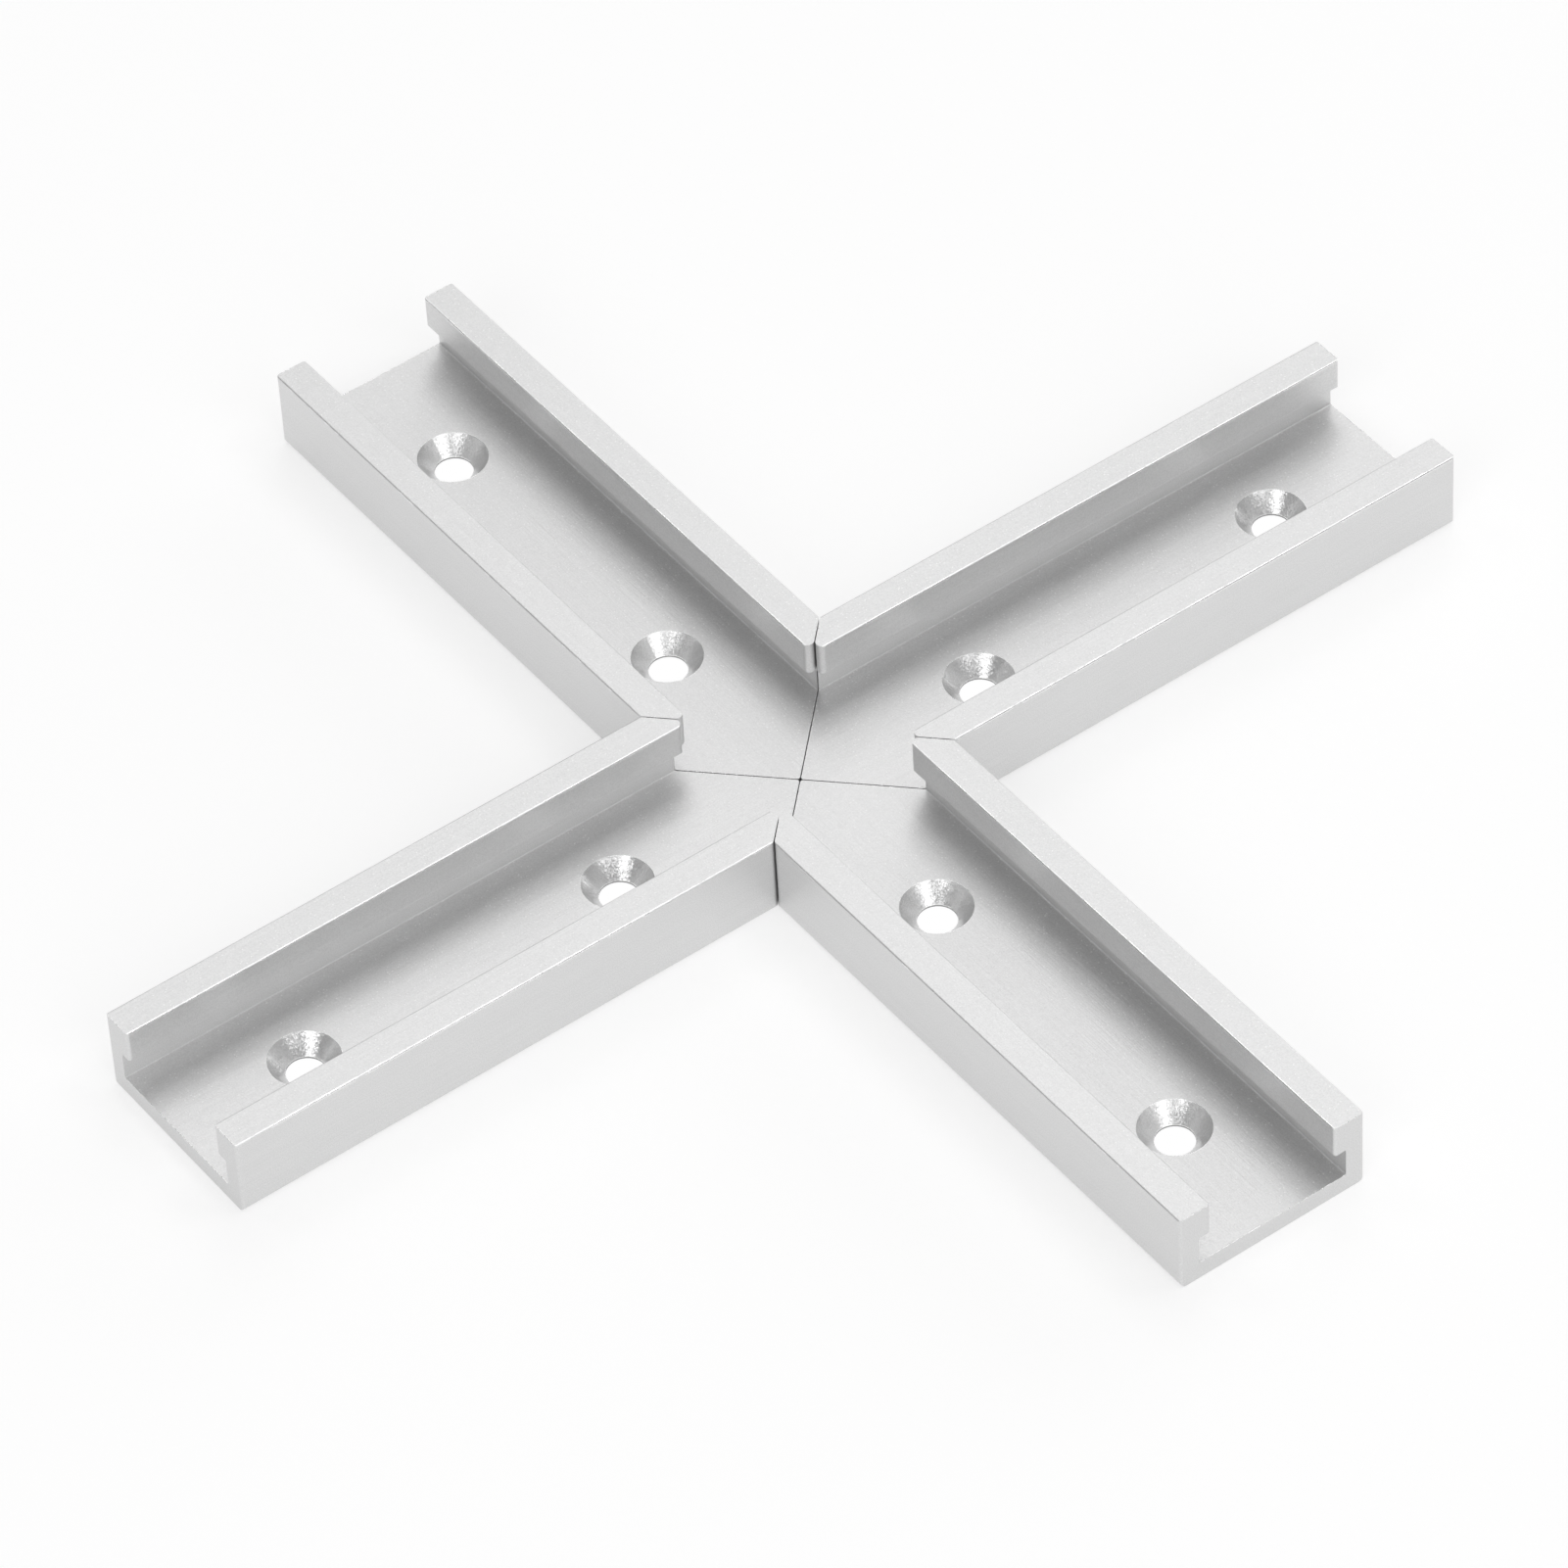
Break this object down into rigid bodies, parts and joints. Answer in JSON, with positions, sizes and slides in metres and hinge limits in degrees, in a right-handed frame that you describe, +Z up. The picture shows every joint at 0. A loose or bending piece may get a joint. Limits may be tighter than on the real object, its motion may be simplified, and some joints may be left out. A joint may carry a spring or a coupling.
{
  "type": "t-slot track intersection",
  "caption": "Cross of short T-slot track channels whose pointed ends close at the middle, with countersunk screw holes in each floor.",
  "frame": {"origin": "middle of the cross, on the underside that lies on the bench", "axes": "+Z up out of the slots; +X along the near right channel and +Y along the far right channel"},
  "size_m": [0.202, 0.202, 0.0127],
  "materials": {
    "satin_aluminium": "blasted and clear anodised, satin"
  },
  "bodies": {
    "root": {"track_near_right": "satin_aluminium", "track_far_right": "satin_aluminium", "track_far_left": "satin_aluminium", "track_near_left": "satin_aluminium"}
  },
  "joints": []
}
